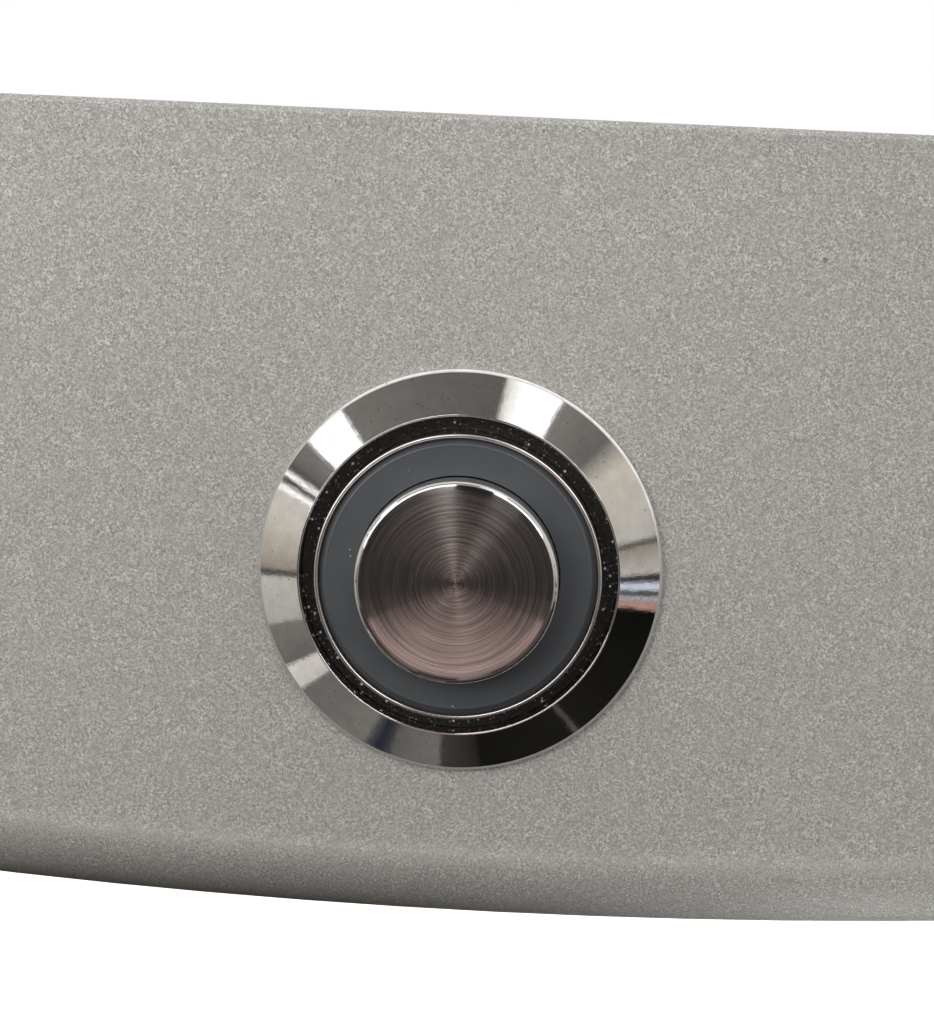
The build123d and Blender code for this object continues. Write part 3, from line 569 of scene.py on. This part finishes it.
def groove_ring():
    """Rubber seal down in the groove, its face dished between two lips."""
    inner, outer = BODY_BORE_R - 0.02 * MM, SEAL_HIGH.x
    back = SEAL_HIGH.y - PANEL_Y
    front = SEAL_LOW.y - PANEL_Y
    middle = (inner + outer) / 2
    return lathe(rounded([(inner, front, 0.06 * MM), (middle, front + 0.25 * MM, 0.3 * MM),
                          (outer, front, 0.06 * MM), (outer, back, 0), (inner, back, 0)]))


def cap():
    """The turned steel cap: a face of fine tool rings, rounded edge, seal groove and hollow skirt."""
    front = CAP_LOW.y - PANEL_Y
    under = front + CAP_FACE
    outer = CAP_HIGH.x
    back = CAP_HIGH.y - PANEL_Y
    ring_pitch = 0.11 * MM
    ring_depth = 0.0012 * MM
    face_r = outer - CAP_EDGE_R
    face = [(0, front, 0)]
    count = int(face_r / ring_pitch) - 1
    for index in range(1, count):
        face.append((index * ring_pitch, front + ring_depth * (index % 2), 0))
    corners = face + [
        (outer, front, CAP_EDGE_R),
        (outer, CAP_GROOVE_FRONT, 0.05 * MM),
        (CAP_GROOVE_R, CAP_GROOVE_FRONT, 0),
        (CAP_GROOVE_R, CAP_GROOVE_BACK, 0),
        (outer, CAP_GROOVE_BACK, 0.05 * MM),
        (outer, back, 0.1 * MM),
        (SKIRT_BORE_R, back, 0),
        (SKIRT_BORE_R, under, 0),
        (SPIGOT_R, under, 0),
        (SPIGOT_R, under - SPIGOT_POCKET, 0),
        (0, under - SPIGOT_POCKET, 0),
    ]
    return lathe(rounded(corners))


def spring(name, centre_x, coil_r, wire_r, turns, body):
    """A coil spring piece in its CAD node's place, riding the given body."""
    low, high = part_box(name)
    mesh = coil(centre_x, coil_r, wire_r, low.y - PANEL_Y, high.y - PANEL_Y, turns)
    piece = finish_piece(mesh, name + "_coil", "spring_steel", body, name, 60)
    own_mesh(piece)


finish_piece(bezel(), "bezel_turned", "bezel_chrome", "housing", "bezel_body")
finish_piece(sleeve(), "sleeve_tube", "sleeve_steel", "housing", "inner_sleeve")
finish_piece(lens(), "lens_ring", "smoked_lens", "housing", "light_ring")
finish_piece(groove_ring(), "groove_rubber", "gasket_rubber", "housing", "groove_seal", 50, GROOVE_RUBBER)
finish_piece(cap(), "cap_turned", "turned_steel", "button", "button_cap")

DRIVE_LOW, DRIVE_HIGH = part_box("drive_spring")
SIDE_SPRING_X = (DRIVE_LOW.x + DRIVE_HIGH.x) / 2
RETURN_COIL_R, RETURN_WIRE_R, RETURN_TURNS = 3.85 * MM, 0.3 * MM, 4.5
SIDE_COIL_R, SIDE_TURNS = 0.8 * MM, 5
DRIVE_WIRE_R, BLADE_WIRE_R = 0.15 * MM, 0.12 * MM
spring("return_spring", 0, RETURN_COIL_R, RETURN_WIRE_R, RETURN_TURNS, "housing")
spring("drive_spring", SIDE_SPRING_X, SIDE_COIL_R, DRIVE_WIRE_R, SIDE_TURNS, "button")
spring("blade_spring", SIDE_SPRING_X, SIDE_COIL_R, BLADE_WIRE_R, SIDE_TURNS, "housing")

# ---------------------------------------------------------------- nodes kept as they are

for node_name, kept in NODES.items():
    if node_name in stood_for:
        continue
    kept.data.materials.clear()
    kept.data.materials.append(MATERIALS[SLOT_OF[node_name]])


# ---------------------------------------------------------------- studio

def srgb(red, green, blue):
    """A screen colour (0 to 255) as linear light."""
    return tuple(((channel / 255 + 0.055) / 1.055) ** 2.4 if channel > 10 else channel / 3295
                 for channel in (red, green, blue))


scene = bpy.context.scene
scene.view_settings.view_transform = "Standard"
scene.view_settings.look = "None"

world = bpy.data.worlds.new("studio")
scene.world = world
world.use_nodes = True
sky = world.node_tree
direction = node(sky, "ShaderNodeTexCoord").outputs["Generated"]
upward = node(sky, "ShaderNodeSeparateXYZ", Vector=direction).outputs["Z"]
GROUND_SHADE = (0.038, 0.028, 0.021)
gradient = ramp(sky, maths(sky, "MULTIPLY_ADD", upward, 0.5), [(0.46, GROUND_SHADE), (0.498, (1, 1, 1))])
sky.links.new(gradient, sky.nodes["Background"].inputs["Color"])

FLOOR_Z = -0.40
FLOOR_HALF = 12
floor_mesh = bmesh.new()
bmesh.ops.create_grid(floor_mesh, x_segments=8, y_segments=8, size=FLOOR_HALF)
floor_data = bpy.data.meshes.new("floor")
floor_mesh.to_mesh(floor_data)
floor_mesh.free()
floor = bpy.data.objects.new("floor", floor_data)
floor.location.z = FLOOR_Z
scene.collection.objects.link(floor)
floor_paint, floor_tree, floor_shader = material("floor_paint")
join(floor_tree, floor_shader, Base_Color=(1, 1, 1, 1), Roughness=0.9, Emission_Color=(1, 1, 1, 1),
     Emission_Strength=0.35)
floor_data.materials.append(floor_paint)
floor.visible_diffuse = False
floor.visible_glossy = False


def place_light(data, location, target):
    """Hang a light that faces a target; it lights surfaces but isn't mirrored in them."""
    lamp = bpy.data.objects.new(data.name, data)
    lamp.location = location
    lamp.rotation_euler = (target - location).to_track_quat("-Z", "Y").to_euler()
    lamp.visible_glossy = False
    scene.collection.objects.link(lamp)
    return lamp


# A soft key from the upper left
KEY_AT = Vector((-0.20, -0.29, 0.12))
key = bpy.data.lights.new("key", "AREA")
key.shape = "SQUARE"
key.size = 0.26
key.energy = 0.64
key.color = (1.0, 0.985, 0.965)
place_light(key, KEY_AT, Vector((0, PANEL_Y, 0))).visible_camera = False

# A small spot below, close to the panel's plane, that lights the right end of the rolled edge
SPOT_AT = Vector((0.055, PANEL_Y - 0.006, -0.075))
SPOT_TARGET = Vector((0.026, PANEL_Y + 0.003, BOTTOM_Z + 0.002))
low_right = bpy.data.lights.new("low_right", "SPOT")
low_right.energy = 0.20
low_right.spot_size = math.radians(38)
low_right.spot_blend = 1.0
low_right.shadow_soft_size = 0.012
place_light(low_right, SPOT_AT, SPOT_TARGET)

# ---------------------------------------------------------------- camera

CAMERA_AT = Vector((7.45, -231.81, 27.4)) * MM
YAW, PITCH, ROLL = math.radians(-2.292), math.radians(-7.435), math.radians(2.602)
LENS = 104.56
SENSOR_WIDTH = 36
CLIP_START = 0.01

forward = Vector((math.sin(YAW) * math.cos(PITCH), math.cos(YAW) * math.cos(PITCH), math.sin(PITCH)))
level = Vector((math.cos(YAW), -math.sin(YAW), 0))
upright = level.cross(forward)
right = math.cos(ROLL) * level + math.sin(ROLL) * upright
up = -math.sin(ROLL) * level + math.cos(ROLL) * upright
camera_data = bpy.data.cameras.new("camera")
camera_data.lens = LENS
camera_data.sensor_width = SENSOR_WIDTH
camera_data.clip_start = CLIP_START
camera = bpy.data.objects.new("camera", camera_data)
camera.matrix_world = Matrix.Translation(CAMERA_AT) @ Matrix((right, up, -forward)).transposed().to_4x4()
scene.collection.objects.link(camera)
scene.camera = camera

# ---------------------------------------------------------------- cards for the bright metal to mirror

CARD_DISTANCE = 0.20
CONE_MIDDLE_R = 11.1 * MM
CONE_MIDDLE_Y = PANEL_Y - 1.5 * MM
CONE_RISE = PANEL_Y - BEZEL_LOW.y - CONE_FOOT_RISE
CONE_RUN = BEZEL_HIGH.x - CONE_FOOT_INSET - LIP_R - LIP_LAND
CONE_SLOPE = math.atan2(CONE_RISE, CONE_RUN)
CAP_CENTRE = Vector((0, CAP_LOW.y, 0))
VIEW_TURN = 2.6
BAND_STEP = 3
SECTOR_STEP = 6


def glowing_paint():
    """Card paint that gives off the colour stored on each face corner."""
    paint, tree, shader = material("glow_card")
    stored = node(tree, "ShaderNodeAttribute", {"attribute_name": "glow"}).outputs["Color"]
    join(tree, shader, Base_Color=(0, 0, 0, 1), Emission_Color=stored, Emission_Strength=1.0, Roughness=1.0)
    shader.inputs["Specular IOR Level"].default_value = 0
    return paint


GLOW = glowing_paint()


def card(name, rows, shades):
    """A card through rows of points, seen only as a reflection; shades hold one colour for each row."""
    mesh = bmesh.new()
    glow = mesh.loops.layers.float_color.new("glow")
    lines = [[mesh.verts.new(point) for point in row] for row in rows]
    for number in range(len(lines) - 1):
        first, second = lines[number], lines[number + 1]
        for index in range(len(first) - 1):
            face = mesh.faces.new((first[index], first[index + 1], second[index + 1], second[index]))
            for loop, row in zip(face.loops, (number, number, number + 1, number + 1)):
                loop[glow] = (*shades[row], 1)
    data = bpy.data.meshes.new(name)
    mesh.to_mesh(data)
    mesh.free()
    data.materials.append(GLOW)
    made = bpy.data.objects.new(name, data)
    for ray in ("camera", "diffuse", "transmission", "volume_scatter", "shadow"):
        setattr(made, "visible_" + ray, False)
    scene.collection.objects.link(made)


def mirrored_from_cone(degrees):
    """Where the camera looks by way of the polished cone, at an angle about the button's axis."""
    angle = math.radians(degrees)
    point = Vector((CONE_MIDDLE_R * math.cos(angle), CONE_MIDDLE_Y, CONE_MIDDLE_R * math.sin(angle)))
    normal = Vector((math.sin(CONE_SLOPE) * math.cos(angle), -math.cos(CONE_SLOPE),
                     math.sin(CONE_SLOPE) * math.sin(angle)))
    ray = (point - CAMERA_AT).normalized()
    return point, (ray - 2 * ray.dot(normal) * normal).normalized()


def blend(first, second, share):
    """The colour a share of the way from the first to the second."""
    return tuple(one + (two - one) * share for one, two in zip(first, second))


def band(name, start, end, first, last, reach):
    """A card seen in the cone between two clock angles; `reach` is its spread towards front and back."""
    rows, shades = [], []
    pieces = max(1, math.ceil((end - start) / BAND_STEP))
    for step in range(pieces + 1):
        share = step / pieces
        point, direction = mirrored_from_cone(VIEW_TURN - (start + (end - start) * share))
        side = direction.cross(Vector((0, -1, 0))).normalized()
        row = []
        for part in range(4):
            turn = math.radians(reach[0] + (reach[1] - reach[0]) * part / 3)
            row.append(point + CARD_DISTANCE * (Matrix.Rotation(-turn, 3, side) @ direction))
        rows.append(row)
        shades.append(blend(first, last, share))
    card(name, rows, shades)


def grey(level):
    """A neutral, slightly warm screen grey."""
    return srgb(level, level * 0.98, level * 0.955)


WHITE = (1.5, 1.5, 1.5)
NAVY = srgb(34, 37, 54)
PALE_BLUE = srgb(200, 206, 220)
ROSE = srgb(176, 140, 130)
BEIGE = srgb(200, 194, 183)
TAUPE = srgb(150, 142, 133)

# Bands seen in the cone, clockwise from the right in the camera's view: start, colour there, colour at the end
CONE_BANDS = (
    (0, grey(70), grey(50)), (2.5, PALE_BLUE, PALE_BLUE), (5, grey(90), grey(70)), (7, PALE_BLUE, grey(120)),
    (8.5, ROSE, ROSE), (11, grey(16), grey(28)), (53, grey(60), grey(95)), (54.5, grey(28), grey(22)),
    (84, grey(38), grey(62)), (96, grey(112), grey(96)), (111, grey(70), NAVY), (115, NAVY, grey(90)),
    (119, grey(118), grey(106)), (143, grey(196), grey(214)), (151, grey(104), grey(122)),
    (164, grey(172), grey(190)), (179, grey(88), grey(66)), (181, TAUPE, BEIGE), (195, BEIGE, grey(205)),
    (205, WHITE, grey(220)), (207, grey(60), grey(48)), (209, WHITE, grey(200)), (211, grey(74), grey(90)),
    (213, grey(104), grey(128)), (221, WHITE, WHITE), (234, grey(120), grey(106)),
    (258, grey(106), grey(96)), (284, grey(214), WHITE), (291, WHITE, WHITE), (301, grey(128), grey(104)),
    (318, grey(112), BEIGE), (326, BEIGE, grey(184)), (349, grey(120), grey(72)), (351, TAUPE, grey(186)),
)
BAND_REACH = (-17, 4)
for index, (start, first, last) in enumerate(CONE_BANDS):
    end = CONE_BANDS[index + 1][0] if index + 1 < len(CONE_BANDS) else 360
    band(f"band_{index:02d}", start, end, first, last, BAND_REACH)

# What the narrow chamfer round the flange mirrors, just outside the cone's bands: start, end, and their colours
RIM_BANDS = (
    (-15, 10, grey(200), grey(150)), (10, 60, grey(60), grey(36)), (60, 150, grey(34), grey(52)),
    (150, 185, grey(110), grey(200)), (185, 345, grey(228), grey(214)),
)
RIM_REACH = (4.5, 17)
for index, (start, end, first, last) in enumerate(RIM_BANDS):
    band(f"rim_{index}", start, end, first, last, RIM_REACH)


def front_sector(name, reach, tilt, clock, first, last):
    """A card in front, between two angles from the cap's mirrored view and two clock angles round it."""
    ray = (CAP_CENTRE - CAMERA_AT).normalized()
    centre = Vector((ray.x, -ray.y, ray.z))
    rows, shades = [], []
    pieces = max(2, math.ceil((clock[1] - clock[0]) / SECTOR_STEP))
    for step in range(pieces + 1):
        share = step / pieces
        angle = math.radians(VIEW_TURN - (clock[0] + (clock[1] - clock[0]) * share))
        outward = Vector((math.cos(angle), 0, math.sin(angle)))
        outward = (outward - outward.dot(centre) * centre).normalized()
        row = []
        for part in range(5):
            away = math.radians(tilt[0] + (tilt[1] - tilt[0]) * part / 4)
            row.append(CAP_CENTRE + reach * (math.cos(away) * centre + math.sin(away) * outward))
        rows.append(row)
        shades.append(blend(first, last, share))
    card(name, rows, shades)


def rosy(level):
    """A screen grey tinged with the warm colour that the cap's lower half mirrors."""
    return srgb(level, level * 0.88, level * 0.86)


HOT = (3.2, 3.2, 3.2)
PINK = (0.76, 0.55, 0.485)
STRIP_CENTRE_X, STRIP_HALF, STRIP_AWAY = -9.5, 15, -220
STRIP_HEIGHTS = (-42.7, -53)
STRIP_ENDS = (STRIP_CENTRE_X - STRIP_HALF, STRIP_CENTRE_X + STRIP_HALF)
PINK_STRIP = [[Vector((x, STRIP_AWAY, height)) * MM + Vector((0, CAP_CENTRE.y, 0)) for x in STRIP_ENDS]
              for height in STRIP_HEIGHTS]
card("pink_strip", PINK_STRIP, (PINK, PINK))

# Sectors round the cap's mirrored view: start, end, and their colours
EDGE_SECTORS = ((24, 156, rosy(186), rosy(186)),)
NEAR_SECTORS = (
    (198, 225, grey(54), grey(62)), (225, 250, grey(64), grey(84)), (250, 269.5, grey(92), grey(206)),
    (269.5, 293, grey(30), grey(44)), (293, 312, grey(118), grey(104)), (312, 333, grey(62), grey(54)),
    (333, 371, grey(62), grey(58)), (11, 60, rosy(86), rosy(88)), (60, 70, rosy(62), rosy(62)),
    (70, 89.5, rosy(112), rosy(184)), (89.5, 113, rosy(50), rosy(68)), (113, 132, rosy(126), rosy(104)),
    (132, 169, rosy(82), rosy(78)), (169, 198, grey(58), grey(62)),
)
FAR_SECTORS = (
    (198, 269.5, HOT, HOT), (269.5, 293, grey(60), grey(70)), (293, 333, HOT, HOT),
    (333, 378, grey(236), grey(150)), (18, 162, grey(84), grey(70)), (162, 198, grey(130), grey(200)),
)
# Each ring of sectors: its name, its distance from the cap, its inner and outer tilt, and the sectors
SECTOR_RINGS = (
    ("edge", 0.225, (3.75, 10), EDGE_SECTORS), ("near", 0.235, (0, 30), NEAR_SECTORS),
    ("far", 0.235, (30, 56), FAR_SECTORS),
)
for label, reach, tilt, sectors in SECTOR_RINGS:
    for index, (start, end, first, last) in enumerate(sectors):
        front_sector(f"{label}_{index:02d}", reach, tilt, (start, end), first, last)
